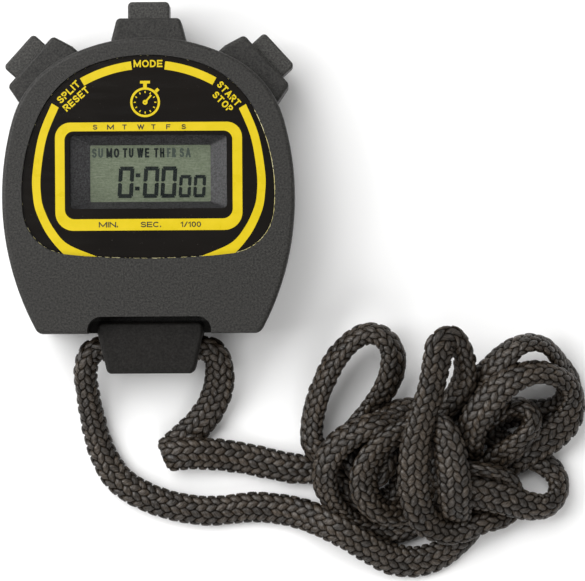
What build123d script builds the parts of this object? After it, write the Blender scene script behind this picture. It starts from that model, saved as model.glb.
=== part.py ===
from build123d import *
import math
import os

# Digital sports stopwatch with three push buttons and a braided lanyard.
# Millimetres. The watch lies on its back: +Z out of the face, +Y towards the mode button,
# +X to the right. The origin is the centre of the watch's footprint on the resting surface.

os.makedirs("parts", exist_ok=True)

# ---------------------------------------------------------------- driving dimensions
# Case outline: tangent arcs (radius, degrees) from the top centre clockwise down the right side.
case_top_y = 33.6
case_arcs = [(41.16, 27.46), (22.15, 46.70), (62.38, 50.13)]
case_bottom_y = -32.0
case_corner_r = 2.0
case_thickness = 20.0
parting_z = 10.0
wall = 2.0
rear_floor = 1.8
front_wall_inside_z = 17.4
front_edge_r = 0.9
rear_edge_r = 2.2

# Face label and the recess that it lies in.
label_top_y = 29.7
label_arcs = [(37.81, 16.25), (21.51, 46.58), (39.55, 33.59), (10.43, 76.85)]
label_bottom_y = -15.4
label_thickness = 0.5
label_bottom_z = 18.9
label_gap = 0.15

# Window, display well and display.
window_w = 34.6
window_h = 16.1
window_y = 3.85
window_corner_r = 0.8
lens_flange = 1.6
lens_flange_z = 17.9
bezel_flange = 2.2
bezel_step_z = 17.3
bezel_bottom_z = 15.65
sight_w = 26.8
sight_h = 12.6
sight_x = 0.3
sight_y = 3.6
glass_w = 33.0
front_glass_h = 20.5
rear_glass_h = 14.0
glass_t = 1.0
polarizer_t = 0.2
display_top_z = 15.6

# Circuit board and module frame.
board_bottom_z = 7.6
board_t = 1.0
board_half_w = 23.3
board_y_min = -22.0
frame_w = 36.0
frame_h = 22.8
frame_top_z = 15.0
zebra_w = 30.0
zebra_t = 2.2
zebra_offset = 8.65
ear_x = 20.2
ear_w = 5.0
ear_ys = [-3.0, 10.0]
ear_top_z = 12.6

# Push buttons: all three axes meet at one point.
button_centre_y = 4.9
button_axis_z = 10.0
side_angle = 47.8
mode_collar_r = 33.35
side_collar_r = 35.6
cap_rise = 3.8
cap_z = 7.0
collar_z = 11.0
lip_t = 1.5
flange_t = 1.2
button_travel = 1.5
running_gap = 0.1
stem_r = 1.2
stem_gap = 0.05
spring_rest_length = 4.7
spring_wire_r = 0.2
spring_outer_r = 2.5
spring_turns = 4
rib_t = 1.5
rib_w = 10.0
stem_tip_past_rib = 0.5
switch_gap = 0.1

# Lanyard bracket, in one piece with the rear case.
bracket_top_y = -29.5
bracket_bottom_y = -41.0
bracket_top_half_w = 11.8
bracket_bottom_half_w = 9.6
bracket_z = (4.0, 15.0)
tunnel_y = -35.55
tunnel_z = 9.5
tunnel_h = 6.5
tunnel_depth = 7.0
notch_half_w = 13.7
notch_top_y = -28.2
notch_corner_r = 3.0

# Fasteners.
case_screw_points = [(11.0, 26.8), (26.6, -2.0), (19.5, -25.5)]
boss_r = 2.5
case_screw_r = 1.0
case_screw_head_r = 1.9
case_screw_head_t = 1.4
case_screw_head_z = 1.6
case_screw_tip_z = 16.0
module_screw_r = 0.8
module_screw_head_r = 1.4
module_screw_head_t = 0.9
screw_gap = 0.05
post_r = 2.0
post_points = [(17.0, -14.0), (13.5, 20.5)]

# Battery and buzzer.
cell_r = 10.0
cell_t = 3.2
cell_y = -8.0
cell_bottom_z = 3.9
buzzer_r = 13.5
buzzer_y = 12.0
buzzer_t = 0.35
buzzer_spring_points = [(-5.0, 17.0), (5.0, 17.0)]
buzzer_spring_r = 1.4
buzzer_wire_r = 0.15

# Lanyard: an equal-section round tube stands for the flattened braid, 6.4 x 3.4.
cord_r = 2.5
floor_z = 2.55
left_route = [
    (0.0, -35.6, 9.5),
    (-15.2, -35.6, 9.5),
    (-16.8, -44.2, 5.6),
    (-14.8, -53.5, 2.8),
    (-10.4, -62.5, floor_z),
    (-2.2, -69.4, floor_z),
    (7.9, -72.4, floor_z),
    (17.8, -72.5, floor_z),
    (27.3, -71.4, floor_z),
    (35.5, -73.8, floor_z),
]
right_route = [
    (0.0, -35.6, 9.5),
    (15.2, -35.6, 9.5),
    (16.8, -43.2, 6.2),
    (12.8, -50.6, 3.4),
    (6.3, -55.6, floor_z),
    (5.7, -60.1, floor_z),
    (8.4, -63.7, floor_z),
    (16.3, -64.8, floor_z),
    (25.0, -64.0, floor_z),
    (34.5, -62.6, floor_z),
]
pile_outline = [
    (36.0, -57.0),
    (37.0, -45.5),
    (44.0, -33.0),
    (51.0, -29.5),
    (72.0, -29.5),
    (86.0, -31.5),
    (96.0, -37.5),
    (99.0, -48.0),
    (96.5, -62.0),
    (93.0, -73.5),
    (84.0, -78.0),
    (72.0, -84.5),
    (59.0, -88.0),
    (46.0, -85.0),
    (36.5, -78.5),
    (31.5, -69.0),
]
pile_corner_r = 4.0
pile_heights = [(0.0, 7.0, 0.0), (7.0, 12.0, 7.0), (12.0, 16.5, 16.0)]


# ---------------------------------------------------------------- helpers
def save(shape, node):
    """Write one node's STEP file."""
    shape.label = node
    export_step(shape, f"parts/{node}.step")


def box(x0, x1, y0, y1, z0, z1):
    """A box from its corner coordinates."""
    size = (x1 - x0, y1 - y0, z1 - z0)
    middle = ((x0 + x1) / 2, (y0 + y1) / 2, (z0 + z1) / 2)
    return Pos(*middle) * Box(*size)


def slab(face, z0, z1):
    """A flat sketch in the XY plane, made solid from z0 to z1."""
    return Pos(0, 0, z0) * extrude(face, z1 - z0, dir=(0, 0, 1))


def disc(x, y, radius, z0, z1):
    """A round post or disc standing along Z."""
    return Pos(x, y, (z0 + z1) / 2) * Cylinder(radius, z1 - z0)


def mirrored(points):
    """Each point and its mirror image across the YZ plane."""
    return [(s * x, y) for x, y in points for s in (1, -1)]


def rounded(width, height, radius, x=0.0, y=0.0):
    """A rounded rectangle centred on a point."""
    return Pos(x, y) * RectangleRounded(width, height, radius)


def arc_chain(top_y, arcs):
    """Tangent arcs from the top centre, turning clockwise."""
    edges = []
    point = Vector(0, top_y)
    tangent = Vector(1, 0)
    for radius, degrees in arcs:
        arc = JernArc(point, tangent, radius, -degrees)
        point = arc @ 1
        tangent = arc % 1
        edges.append(arc)
    return edges, point, tangent


def whole_face(half_edges):
    """Close a right-hand half outline on the YZ plane and mirror it."""
    half = make_face(Curve() + half_edges)
    return half + mirror(half, about=Plane.YZ)


def helix_wire(radius, wire_r, length, turns):
    """A coil spring along +Z, from z = 0 to z = length."""
    rise = length - 2 * wire_r
    path = Pos(0, 0, wire_r) * Helix(rise / turns, rise, radius)
    section = Plane(origin=path @ 0, z_dir=path % 0) * Circle(wire_r)
    return sweep(section, path=path)


# ---------------------------------------------------------------- outlines
def case_face():
    edges, end, _ = arc_chain(case_top_y, case_arcs)
    edges.append(Line(end, (0, end.Y)))
    edges.append(Line((0, end.Y), (0, case_top_y)))
    whole = whole_face(edges)
    below = Pos(0, case_bottom_y - 20) * Rectangle(100, 40)
    cut = whole - below
    corners = [v for v in cut.vertices() if abs(v.Y - case_bottom_y) < 0.01 and abs(v.X) > 1]
    return fillet(corners, case_corner_r)


def label_face():
    edges, end, tangent = arc_chain(label_top_y, label_arcs)
    edges.append(TangentArc(end, (0, label_bottom_y), tangent=tangent))
    edges.append(Line((0, label_bottom_y), (0, label_top_y)))
    return whole_face(edges)


def notch_face(margin):
    """The cut-out over the lanyard bracket, grown by a margin."""
    half_w = notch_half_w + margin
    top = notch_top_y + margin
    depth = 20.0
    return Pos(0, top - depth / 2) * RectangleRounded(2 * half_w, depth, notch_corner_r)


CASE = case_face()
INSIDE = offset(CASE, -wall) - notch_face(wall)


# ---------------------------------------------------------------- push buttons
class Button:
    """One push button, drawn pointing +Y with its collar's top at y = 0, and put in place."""

    def __init__(self, name, angle, collar_r, cap_w, collar_top_w, collar_base_w):
        self.name = name
        self.angle = angle
        self.collar_r = collar_r
        self.cap_w = cap_w
        self.flange_w = cap_w + 1.8
        self.flange_z = cap_z + 1.4
        self.collar_top_w = collar_top_w
        self.collar_base_w = collar_base_w
        self.flange_back = -lip_t - flange_t
        self.rib_front = self.flange_back - spring_rest_length
        self.rib_back = self.rib_front - rib_t
        self.tip = self.rib_back - stem_tip_past_rib
        turn = math.radians(angle)
        x = collar_r * math.sin(turn)
        y = button_centre_y + collar_r * math.cos(turn)
        self.place = Pos(x, y, button_axis_z) * Rot(0, 0, -angle)

    def collar(self):
        """Outer block, tapered in width, that stands out of the case's rim."""
        rise = 4.8
        root = 6.9
        corners = [
            (-self.collar_top_w / 2, 0),
            (self.collar_top_w / 2, 0),
            (self.collar_base_w / 2, -rise),
            (self.collar_base_w / 2, -root),
            (-self.collar_base_w / 2, -root),
            (-self.collar_base_w / 2, -rise),
        ]
        block = slab(Polygon(*corners, align=None), -collar_z / 2, collar_z / 2)
        upright = block.edges().filter_by(Axis.Z).group_by(Axis.Y)[-1]
        block = fillet(upright, 1.1)
        rims = block.faces().group_by(Axis.Z)
        shoulders = ShapeList(
            e
            for f in (rims[0] + rims[-1])
            for e in f.edges()
            if e.center().Y > -root + 0.1
        )
        return self.place * fillet(shoulders, 0.7)

    def room(self):
        """Opening through the lip, and the pocket in which the flange slides."""
        gap = 2 * running_gap
        mouth = box(
            -(self.cap_w + gap) / 2, (self.cap_w + gap) / 2,
            -lip_t - 0.5, 2.0,
            -(cap_z + gap) / 2, (cap_z + gap) / 2,
        )
        pocket_w = self.flange_w + 0.3
        pocket_z = self.flange_z + 0.3
        pocket = box(
            -pocket_w / 2, pocket_w / 2,
            self.rib_front, -lip_t,
            -pocket_z / 2, pocket_z / 2,
        )
        return self.place * (mouth + pocket)

    def rib(self, z0, z1):
        """Half of the guide rib, between two heights measured from the button's axis."""
        block = box(-rib_w / 2, rib_w / 2, self.rib_back, self.rib_front, z0, z1)
        bore = Rot(90, 0, 0) * Cylinder(stem_r + stem_gap, 40)
        return self.place * (block - bore)

    def board_keepout(self):
        """Everything further out than the guide rib, where the board stops."""
        return self.place * box(-9, 9, self.rib_back - 0.4, 12, -10, 10)

    def key(self):
        """Cap, retaining flange and stem in one moulding."""
        cap = box(-self.cap_w / 2, self.cap_w / 2, -lip_t, cap_rise, -cap_z / 2, cap_z / 2)
        cap = fillet(cap.edges().filter_by(Axis.Z).group_by(Axis.Y)[-1], 1.0)
        cap = fillet(cap.faces().sort_by(Axis.Y)[-1].edges(), 0.5)
        flange = box(
            -self.flange_w / 2, self.flange_w / 2,
            self.flange_back, -lip_t,
            -self.flange_z / 2, self.flange_z / 2,
        )
        stem_length = self.flange_back - self.tip
        middle = (self.flange_back + self.tip) / 2
        stem = Pos(0, middle, 0) * Rot(90, 0, 0) * Cylinder(stem_r, stem_length)
        return self.place * (cap + flange + stem)

    def spring(self):
        """Return spring between the guide rib and the flange."""
        clearance = 0.02
        length = spring_rest_length - 2 * clearance
        coil = helix_wire(spring_outer_r - spring_wire_r, spring_wire_r, length, spring_turns)
        return self.place * Pos(0, self.rib_front + clearance, 0) * Rot(-90, 0, 0) * coil

    def switch(self):
        """Side-acting tact switch standing on the board, its plunger facing the stem."""
        face = self.tip - button_travel - switch_gap
        board_top = board_bottom_z + board_t - button_axis_z
        body = box(-3.0, 3.0, face - 4.0, face - 0.6, board_top, board_top + 3.4)
        plunger = Pos(0, face - 0.4, 0) * Rot(90, 0, 0) * Cylinder(0.9, 0.8)
        return self.place * (body + plunger)


BUTTONS = [
    Button("mode", 0.0, mode_collar_r, 9.3, 14.1, 16.6),
    Button("start_stop", side_angle, side_collar_r, 10.0, 15.0, 17.4),
    Button("split_reset", -side_angle, side_collar_r, 10.0, 15.0, 17.4),
]


# ---------------------------------------------------------------- case
def front_case():
    shell = slab(CASE, parting_z, case_thickness)
    rim = shell.faces().sort_by(Axis.Z)[-1].edges()
    shell = fillet(rim, front_edge_r)
    upper = box(-60, 60, -60, 60, parting_z, case_thickness)
    for button in BUTTONS:
        shell += button.collar() & upper
    notch = slab(notch_face(0), parting_z - 1, case_thickness + 1)
    shell -= notch
    shell -= slab(INSIDE, parting_z - 1, front_wall_inside_z)
    shell -= slab(label_face(), label_bottom_z, case_thickness + 1)
    opening = rounded(window_w + 2 * lens_flange, window_h + 2 * lens_flange, 1.5, 0, window_y)
    shell -= slab(opening, front_wall_inside_z - 1, case_thickness)
    for button in BUTTONS:
        shell -= button.room()
        shell += button.rib(0, front_wall_inside_z - button_axis_z + 0.2)
    for x, y in mirrored(case_screw_points):
        shell += disc(x, y, boss_r, parting_z, front_wall_inside_z + 0.2)
        shell -= disc(x, y, case_screw_r + screw_gap, parting_z - 1, case_screw_tip_z + 0.6)
    return shell


def lanyard_bracket():
    corners = [
        (-bracket_top_half_w, bracket_top_y),
        (bracket_top_half_w, bracket_top_y),
        (bracket_top_half_w, case_bottom_y),
        (bracket_bottom_half_w, bracket_bottom_y),
        (-bracket_bottom_half_w, bracket_bottom_y),
        (-bracket_top_half_w, case_bottom_y),
    ]
    block = slab(Polygon(*corners, align=None), *bracket_z)
    ends = block.edges().filter_by(Axis.Z)
    outer = ends.group_by(Axis.Y)[0] + ends.group_by(Axis.Y)[-1]
    block = fillet(outer, 1.2)
    block = fillet(block.faces().sort_by(Axis.Z)[-1].edges(), 0.8)
    lower = [e for e in block.faces().sort_by(Axis.Z)[0].edges() if e.center().Y < case_bottom_y - 1]
    block = chamfer(lower, 0.6)
    tunnel_face = Plane.YZ * Pos(tunnel_y, tunnel_z) * RectangleRounded(tunnel_h, tunnel_depth, 2.0)
    return block - extrude(tunnel_face, 20, both=True)


def rear_case():
    shell = slab(CASE, 0, parting_z)
    shell = fillet(shell.faces().sort_by(Axis.Z)[0].edges(), rear_edge_r)
    lower = box(-60, 60, -60, 60, 0, parting_z)
    for button in BUTTONS:
        shell += button.collar() & lower
    shell -= slab(INSIDE, rear_floor, parting_z + 1)
    for button in BUTTONS:
        shell -= button.room()
        shell += button.rib(rear_floor - button_axis_z - 0.2, 0)
    for x, y in mirrored(case_screw_points):
        shell += disc(x, y, boss_r, rear_floor - 0.2, parting_z)
        shell -= disc(x, y, case_screw_r + screw_gap, -1, parting_z + 1)
        shell -= disc(x, y, case_screw_head_r + screw_gap, -1, case_screw_head_z + 1.4)
    for x, y in mirrored(post_points):
        shell += disc(x, y, post_r, rear_floor - 0.2, board_bottom_z)
    return shell + lanyard_bracket()


def screw(x, y, head_r, head_t, head_z, shank_r, tip_z):
    """Cross-recess screw pointing up, its head's underside at head_z + head_t."""
    body = disc(x, y, head_r, head_z, head_z + head_t)
    body += disc(x, y, shank_r, head_z + head_t - 0.1, tip_z - shank_r)
    body += Pos(x, y, tip_z - shank_r / 2) * Cone(shank_r, shank_r * 0.4, shank_r)
    slot = head_r * 1.2
    depth = head_t * 0.55
    for turn in (0, 90):
        body -= Pos(x, y, head_z) * Rot(0, 0, turn) * Box(slot, slot * 0.24, 2 * depth)
    return body


def case_screws():
    shapes = [
        screw(
            x, y, case_screw_head_r, case_screw_head_t, case_screw_head_z,
            case_screw_r, case_screw_tip_z,
        )
        for x, y in mirrored(case_screw_points)
    ]
    return Compound(children=shapes)


# ---------------------------------------------------------------- face, window, bezel
def face_label():
    whole = offset(label_face(), -label_gap)
    hole = rounded(window_w + 0.2, window_h + 0.2, window_corner_r + 0.1, 0, window_y)
    return slab(whole - hole, label_bottom_z, label_bottom_z + label_thickness)


def window_lens():
    boss = rounded(window_w, window_h, window_corner_r, 0, window_y)
    flange = rounded(
        window_w + 2 * lens_flange - 0.2, window_h + 2 * lens_flange - 0.2, 1.4, 0, window_y
    )
    lens = slab(boss, label_bottom_z - 0.2, label_bottom_z + label_thickness)
    return lens + slab(flange, lens_flange_z, label_bottom_z)


def display_bezel():
    outer = rounded(
        window_w + 2 * lens_flange - 0.2, window_h + 2 * lens_flange - 0.2, 1.4, 0, window_y
    )
    flange = rounded(
        window_w + 2 * lens_flange + 2 * bezel_flange,
        window_h + 2 * lens_flange + 2 * bezel_flange,
        2.5, 0, window_y,
    )
    body = slab(outer, bezel_step_z - 0.2, lens_flange_z)
    body += slab(flange, bezel_bottom_z, bezel_step_z)
    top = Pos(0, window_y, lens_flange_z) * RectangleRounded(window_w, window_h, window_corner_r)
    sight = Pos(sight_x, sight_y, bezel_bottom_z) * RectangleRounded(sight_w, sight_h, 0.3)
    well = loft([sight.face(), top.face()])
    return body - well


# ---------------------------------------------------------------- display module
def layer(width, height, z0, z1, x=sight_x, y=sight_y):
    return slab(Pos(x, y) * Rectangle(width, height), z0, z1)


polarizer_z = display_top_z - polarizer_t
front_glass_z = polarizer_z - glass_t
rear_glass_z = front_glass_z - glass_t
reflector_z = rear_glass_z - polarizer_t
board_top_z = board_bottom_z + board_t


def module_frame():
    body = layer(frame_w, frame_h, board_top_z, frame_top_z)
    for x in (-ear_x, ear_x):
        for y in ear_ys:
            reach = ear_w / 2 + 0.6
            ear = box(
                min(x - reach, x + reach), max(x - reach, x + reach),
                y - ear_w / 2, y + ear_w / 2, board_top_z, ear_top_z,
            )
            body += ear
    body -= layer(glass_w + 0.2, front_glass_h + 0.2, front_glass_z - 0.05, frame_top_z + 1)
    body -= layer(glass_w + 0.2, rear_glass_h + 0.2, reflector_z - 0.1, frame_top_z + 1)
    body -= layer(glass_w - 3.0, rear_glass_h - 1.2, board_top_z - 1, frame_top_z)
    for side in (-1, 1):
        y = sight_y + side * zebra_offset
        body -= layer(zebra_w + 0.2, zebra_t + 0.2, board_top_z - 1, frame_top_z, y=y)
    for x in (-ear_x, ear_x):
        for y in ear_ys:
            body -= disc(x, y, module_screw_r + screw_gap, board_top_z - 1, ear_top_z - 0.6)
    return body


def zebra_strips():
    strips = [
        layer(zebra_w, zebra_t, board_top_z, front_glass_z, y=sight_y + side * zebra_offset)
        for side in (-1, 1)
    ]
    return Compound(children=strips)


def module_screws():
    shapes = []
    for x in (-ear_x, ear_x):
        for y in ear_ys:
            shapes.append(
                screw(
                    x, y, module_screw_head_r, module_screw_head_t,
                    board_bottom_z - module_screw_head_t, module_screw_r, ear_top_z - 0.8,
                )
            )
    return Compound(children=shapes)


def circuit_board():
    top_y = 28.0
    plate = Pos(0, (board_y_min + top_y) / 2) * Rectangle(2 * board_half_w, top_y - board_y_min)
    plate = plate & offset(CASE, -wall - 0.8)
    board = slab(plate, board_bottom_z, board_top_z)
    for button in BUTTONS:
        board -= button.board_keepout()
    for x, y in mirrored(case_screw_points):
        board -= disc(x, y, boss_r + 0.6, board_bottom_z - 1, board_top_z + 1)
    for x in (-ear_x, ear_x):
        for y in ear_ys:
            board -= disc(x, y, module_screw_r + screw_gap, board_bottom_z - 1, board_top_z + 1)
    return board


def main_chip():
    """Bonded die under a black resin dome, on the board's underside."""
    radius = 4.5
    height = 1.1
    ball_r = (radius**2 + height**2) / (2 * height)
    ball = Pos(0, 7.5, board_bottom_z - height + ball_r) * Sphere(ball_r)
    return ball & disc(0, 7.5, radius, board_bottom_z - height, board_bottom_z)


def quartz_crystal():
    can_r = 1.0
    length = 6.2
    can = Pos(13.0, 5.0, board_bottom_z - can_r) * Rot(90, 0, 0) * Cylinder(can_r, length)
    return can


def smd_parts():
    sites = [(8.0, 13.0), (10.5, 13.0), (-9.0, 12.0), (-9.0, 9.0), (-13.0, 6.0), (-15.5, 6.0)]
    chips = [box(x - 0.6, x + 0.6, y - 1.0, y + 1.0, board_bottom_z - 0.6, board_bottom_z)
             for x, y in sites]
    return Compound(children=chips)


def tact_switches():
    return Compound(children=[button.switch() for button in BUTTONS])


# ---------------------------------------------------------------- battery and buzzer
def coin_cell():
    can = disc(0, cell_y, cell_r, cell_bottom_z, cell_bottom_z + cell_t - 0.5)
    can = fillet(can.faces().sort_by(Axis.Z)[0].edges(), 0.3)
    cup = disc(0, cell_y, cell_r - 1.0, cell_bottom_z + cell_t - 0.5, cell_bottom_z + cell_t)
    return can + cup


def battery_clip():
    """Sprung strap under the cell, with two legs soldered to the board."""
    reach = cell_r + 0.3
    half_y = 3.5
    t = 0.3
    z0 = cell_bottom_z - 0.05 - t
    clip = box(-reach - t, reach + t, cell_y - half_y, cell_y + half_y, z0, z0 + t)
    for side in (-1, 1):
        leg = sorted((side * reach, side * (reach + t)))
        foot = sorted((side * reach, side * (reach + 2.4)))
        clip += box(*leg, cell_y - half_y, cell_y + half_y, z0, board_bottom_z)
        clip += box(*foot, cell_y - half_y, cell_y + half_y, board_bottom_z - t, board_bottom_z)
    return clip


def battery_contact():
    """Negative contact between the cell and the board."""
    top = board_bottom_z
    plate = box(-2.0, 2.0, cell_y - 4.0, cell_y + 4.0, top - 0.3, top)
    return plate + disc(0, cell_y, 1.5, cell_bottom_z + cell_t + 0.02, top - 0.2)


def buzzer_disc():
    brass = disc(0, buzzer_y, buzzer_r, rear_floor, rear_floor + 0.2)
    return brass + disc(0, buzzer_y, buzzer_r - 3.5, rear_floor + 0.2, rear_floor + buzzer_t)


def buzzer_springs():
    low = rear_floor + buzzer_t + 0.02
    length = board_bottom_z - 0.02 - low
    coils = [
        Pos(x, y, low) * helix_wire(buzzer_spring_r - buzzer_wire_r, buzzer_wire_r, length, 6)
        for x, y in buzzer_spring_points
    ]
    return Compound(children=coils)


# ---------------------------------------------------------------- lanyard
def cord_tube(route, name):
    """Tube along straight runs joined by tangent arcs."""
    points = [Vector(*p) for p in route]
    radii = []
    for before, here, after in zip(points, points[1:], points[2:]):
        run_in = here - before
        run_out = after - here
        half_turn = math.radians(run_in.get_angle(run_out)) / 2
        shorter = min(run_in.length, run_out.length)
        radii.append(0.45 * shorter / math.tan(half_turn))
    path = FilletPolyline(*points, radius=radii)
    section = Plane(origin=path @ 0, z_dir=path % 0) * Circle(cord_r)
    tube = sweep(section, path=path)
    expected = math.pi * cord_r**2 * path.length
    print(name, "radii", [round(r, 1) for r in radii])
    print(name, "length", round(path.length, 1), "volume ratio", round(tube.volume / expected, 4))
    return tube


def cord_pile():
    """Outer shape of the loosely piled loops, stepped in towards the top."""
    outline = Polygon(*pile_outline, align=None)
    outline = fillet(outline.vertices(), pile_corner_r)
    pile = None
    for low, high, inset in pile_heights:
        step = outline if inset == 0 else offset(outline, -inset)
        block = slab(step, low, high)
        pile = block if pile is None else pile + block
    return pile


# ---------------------------------------------------------------- write the nodes
def main():
    save(front_case(), "front_case")
    save(rear_case(), "rear_case")
    save(case_screws(), "case_screws")
    save(face_label(), "face_label")
    save(window_lens(), "window_lens")
    save(display_bezel(), "display_bezel")
    save(layer(sight_w + 1.2, sight_h + 1.0, polarizer_z, display_top_z), "lcd_front_polarizer")
    save(layer(glass_w, front_glass_h, front_glass_z, polarizer_z), "lcd_front_glass")
    save(layer(glass_w, rear_glass_h, rear_glass_z, front_glass_z), "lcd_rear_glass")
    save(layer(glass_w, rear_glass_h, reflector_z, rear_glass_z), "lcd_reflector")
    save(zebra_strips(), "zebra_strips")
    save(module_frame(), "module_frame")
    save(module_screws(), "module_screws")
    save(circuit_board(), "circuit_board")
    save(main_chip(), "main_chip")
    save(quartz_crystal(), "quartz_crystal")
    save(smd_parts(), "smd_parts")
    save(tact_switches(), "tact_switches")
    for button in BUTTONS:
        save(button.key(), f"{button.name}_button")
        save(button.spring(), f"{button.name}_spring")
    save(coin_cell(), "coin_cell")
    save(battery_clip(), "battery_clip")
    save(battery_contact(), "battery_contact")
    save(buzzer_disc(), "buzzer_disc")
    save(buzzer_springs(), "buzzer_springs")
    save(cord_tube(left_route, "lanyard_left"), "lanyard_left")
    save(cord_tube(right_route, "lanyard_right"), "lanyard_right")
    save(cord_pile(), "lanyard_bundle")


main()
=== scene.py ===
"""A digital sports stopwatch on its braided neck lanyard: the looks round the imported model, in metres."""
import math

import bmesh
import bpy
import numpy as np
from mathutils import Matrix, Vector


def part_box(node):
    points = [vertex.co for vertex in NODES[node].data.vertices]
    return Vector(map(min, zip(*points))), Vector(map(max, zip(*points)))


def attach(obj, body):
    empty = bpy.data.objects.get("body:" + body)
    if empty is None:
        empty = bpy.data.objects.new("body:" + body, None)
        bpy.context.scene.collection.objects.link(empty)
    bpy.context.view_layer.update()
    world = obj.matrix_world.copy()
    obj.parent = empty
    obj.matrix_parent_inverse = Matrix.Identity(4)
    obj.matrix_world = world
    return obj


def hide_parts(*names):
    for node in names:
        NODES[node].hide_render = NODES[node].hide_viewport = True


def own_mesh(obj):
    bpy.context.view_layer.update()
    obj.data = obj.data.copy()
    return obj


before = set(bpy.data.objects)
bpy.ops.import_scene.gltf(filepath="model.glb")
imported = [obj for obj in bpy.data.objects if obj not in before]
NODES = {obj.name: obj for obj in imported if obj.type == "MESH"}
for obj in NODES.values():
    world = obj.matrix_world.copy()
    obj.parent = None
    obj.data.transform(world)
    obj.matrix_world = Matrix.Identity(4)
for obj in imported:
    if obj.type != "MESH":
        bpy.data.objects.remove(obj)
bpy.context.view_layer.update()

MM = 0.001


def mm(*values):
    """Millimetres, as a Blender vector in metres."""
    return Vector(values) * MM


def into_scene(name, data):
    made = bpy.data.objects.new(name, data)
    bpy.context.scene.collection.objects.link(made)
    return made


# ---------------------------------------------------------------- materials

class Finish:
    """A principled material, with a few short ways to wire procedural nodes into it."""

    def __init__(self, name, roughness, colour=(0.5, 0.5, 0.5), **sockets):
        self.material = bpy.data.materials.new(name)
        self.material.use_nodes = True
        self.tree = self.material.node_tree
        self.shader = self.tree.nodes["Principled BSDF"]
        self.set(self.shader, "Base Color", (*colour, 1.0))
        self.set(self.shader, "Roughness", roughness)
        for socket, value in sockets.items():
            self.set(self.shader, socket.replace("_", " "), value)

    def set(self, node, socket, value):
        node.inputs[socket].default_value = value

    def link(self, output, node, socket):
        self.tree.links.new(output, node.inputs[socket])

    def node(self, kind, **settings):
        made = self.tree.nodes.new(kind)
        for key, value in settings.items():
            setattr(made, key, value)
        return made

    def place(self, layer=None):
        """Object coordinates, or a UV layer's."""
        if layer:
            return self.node("ShaderNodeUVMap", uv_map=layer).outputs["UV"]
        return self.node("ShaderNodeTexCoord").outputs["Object"]

    def math(self, operation, first, second=0.0, third=0.0):
        made = self.node("ShaderNodeMath", operation=operation)
        for socket, value in enumerate((first, second, third)):
            if isinstance(value, (int, float)):
                made.inputs[socket].default_value = value
            else:
                self.link(value, made, socket)
        return made.outputs[0]

    def separated(self, vector):
        made = self.node("ShaderNodeSeparateXYZ")
        self.link(vector, made, "Vector")
        return made.outputs

    def combined(self, *parts):
        made = self.node("ShaderNodeCombineXYZ")
        for socket, part in enumerate(parts):
            self.link(part, made, socket)
        return made.outputs[0]

    def stretched(self, vector, scale, turn=(0.0, 0.0, 0.0)):
        """Coordinates scaled by different amounts along turned axes, for streaks."""
        made = self.node("ShaderNodeMapping")
        self.link(vector, made, "Vector")
        self.set(made, "Scale", scale)
        self.set(made, "Rotation", turn)
        return made.outputs["Vector"]

    def noise(self, vector, scale, detail=3.0, roughness=0.55):
        made = self.node("ShaderNodeTexNoise")
        self.link(vector, made, "Vector")
        self.set(made, "Scale", scale)
        self.set(made, "Detail", detail)
        self.set(made, "Roughness", roughness)
        return made.outputs["Fac"]

    def ramp(self, factor, *stops):
        """Colour stops as (position, (r, g, b)), or grey stops as (position, value)."""
        made = self.node("ShaderNodeValToRGB")
        self.link(factor, made, "Fac")
        elements = made.color_ramp.elements
        while len(elements) < len(stops):
            elements.new(0.5)
        for element, (position, value) in zip(elements, stops):
            element.position = position
            colour = value if isinstance(value, tuple) else (value, value, value)
            element.color = (*colour, 1.0)
        return made.outputs["Color"]

    def mix(self, factor, first, second, blend="MIX"):
        made = self.node("ShaderNodeMix", data_type="RGBA", blend_type=blend)
        for socket, value in ((0, factor), (6, first), (7, second)):
            if isinstance(value, (int, float)):
                made.inputs[socket].default_value = value
            elif isinstance(value, tuple):
                made.inputs[socket].default_value = (*value, 1.0)
            else:
                self.tree.links.new(value, made.inputs[socket])
        return made.outputs[2]

    def colour(self, output):
        self.link(output, self.shader, "Base Color")

    def rough(self, output):
        self.link(output, self.shader, "Roughness")

    def bump(self, height, strength, distance):
        """Adds fine relief on top of any that is there."""
        made = self.node("ShaderNodeBump")
        self.set(made, "Strength", strength)
        self.set(made, "Distance", distance)
        self.link(height, made, "Height")
        chained = self.shader.inputs["Normal"]
        if chained.is_linked:
            self.tree.links.new(chained.links[0].from_socket, made.inputs["Normal"])
        self.link(made.outputs["Normal"], self.shader, "Normal")


# ---------------------------------------------------------------- the lanyard's route

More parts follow.
